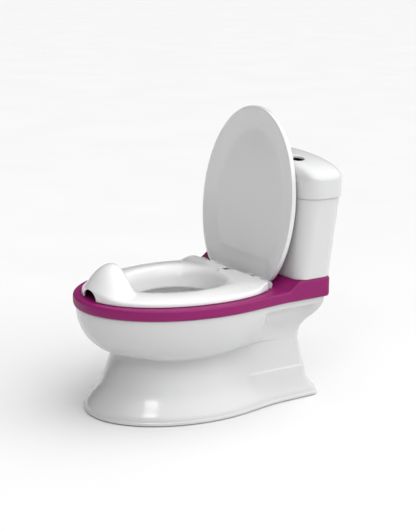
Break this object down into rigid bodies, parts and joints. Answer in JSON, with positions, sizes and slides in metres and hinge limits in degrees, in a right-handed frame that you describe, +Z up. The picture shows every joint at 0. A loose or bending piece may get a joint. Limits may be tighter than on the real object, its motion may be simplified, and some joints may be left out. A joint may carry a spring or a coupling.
{
  "type": "potty training chair",
  "caption": "Toddler's training potty shaped like a small toilet: flared pedestal, coloured deck, hinged seat with splash guard, hinged lid, lift-out pot and a storage tank with a lid.",
  "frame": {"origin": "on the ground, under the middle of the chair's box", "axes": "+Z up, -Y towards the front with the splash guard, +Y towards the tank, +X to the right seen from the front"},
  "size_m": [0.3, 0.4121, 0.4789],
  "materials": {
    "shell_white": "moulded white polypropylene, gloss",
    "deck_magenta": "moulded magenta polypropylene, fine satin texture",
    "seat_white": "moulded white polypropylene, high gloss",
    "lid_white": "moulded white polypropylene, soft gloss",
    "tank_white": "moulded white polypropylene, gloss",
    "pot_white": "moulded white polypropylene, high gloss",
    "hinge_grey": "light grey acetal",
    "rubber_grey": "soft anti-slip rubber",
    "steel": "plain steel"
  },
  "bodies": {
    "chair": {"base_shell": "shell_white", "deck": "deck_magenta", "tank_body": "tank_white", "hinge_post_left": "hinge_grey", "hinge_post_right": "hinge_grey", "hinge_rod_caps": "hinge_grey", "deck_screws": "steel", "tank_screws": "steel", "hinge_post_screws": "steel", "foot_front_left": "rubber_grey", "foot_front_right": "rubber_grey", "foot_rear_left": "rubber_grey", "foot_rear_right": "rubber_grey"},
    "seat": {"seat": "seat_white", "seat_bumper_front_left": "rubber_grey", "seat_bumper_front_right": "rubber_grey", "seat_bumper_rear_left": "rubber_grey", "seat_bumper_rear_right": "rubber_grey"},
    "lid": {"lid": "lid_white"},
    "pot": {"inner_pot": "pot_white"},
    "tank_lid": {"tank_lid": "tank_white"},
    "rod": {"hinge_rod": "steel"}
  },
  "joints": [
    {"name": "lid_hinge", "type": "hinge", "parent": "chair", "child": "lid", "pos_m": [0, 0.085, 0.2015], "axis": [-1, 0, 0], "range_deg": [-85.5, 0]},
    {"name": "seat_hinge", "type": "hinge", "parent": "chair", "child": "seat", "pos_m": [0, 0.085, 0.2015], "axis": [-1, 0, 0], "range_deg": [0, 85]},
    {"name": "pot_lift", "type": "slide", "parent": "chair", "child": "pot", "axis": [0, 0, 1], "range_m": [0, 0.005]},
    {"name": "tank_lid_lift", "type": "slide", "parent": "chair", "child": "tank_lid", "axis": [0, 0.1201, 0.9928], "range_m": [0, 0.06]},
    {"name": "hinge_rod_spin", "type": "hinge", "parent": "chair", "child": "rod", "pos_m": [0, 0.085, 0.2015], "axis": [1, 0, 0], "continuous": true}
  ]
}
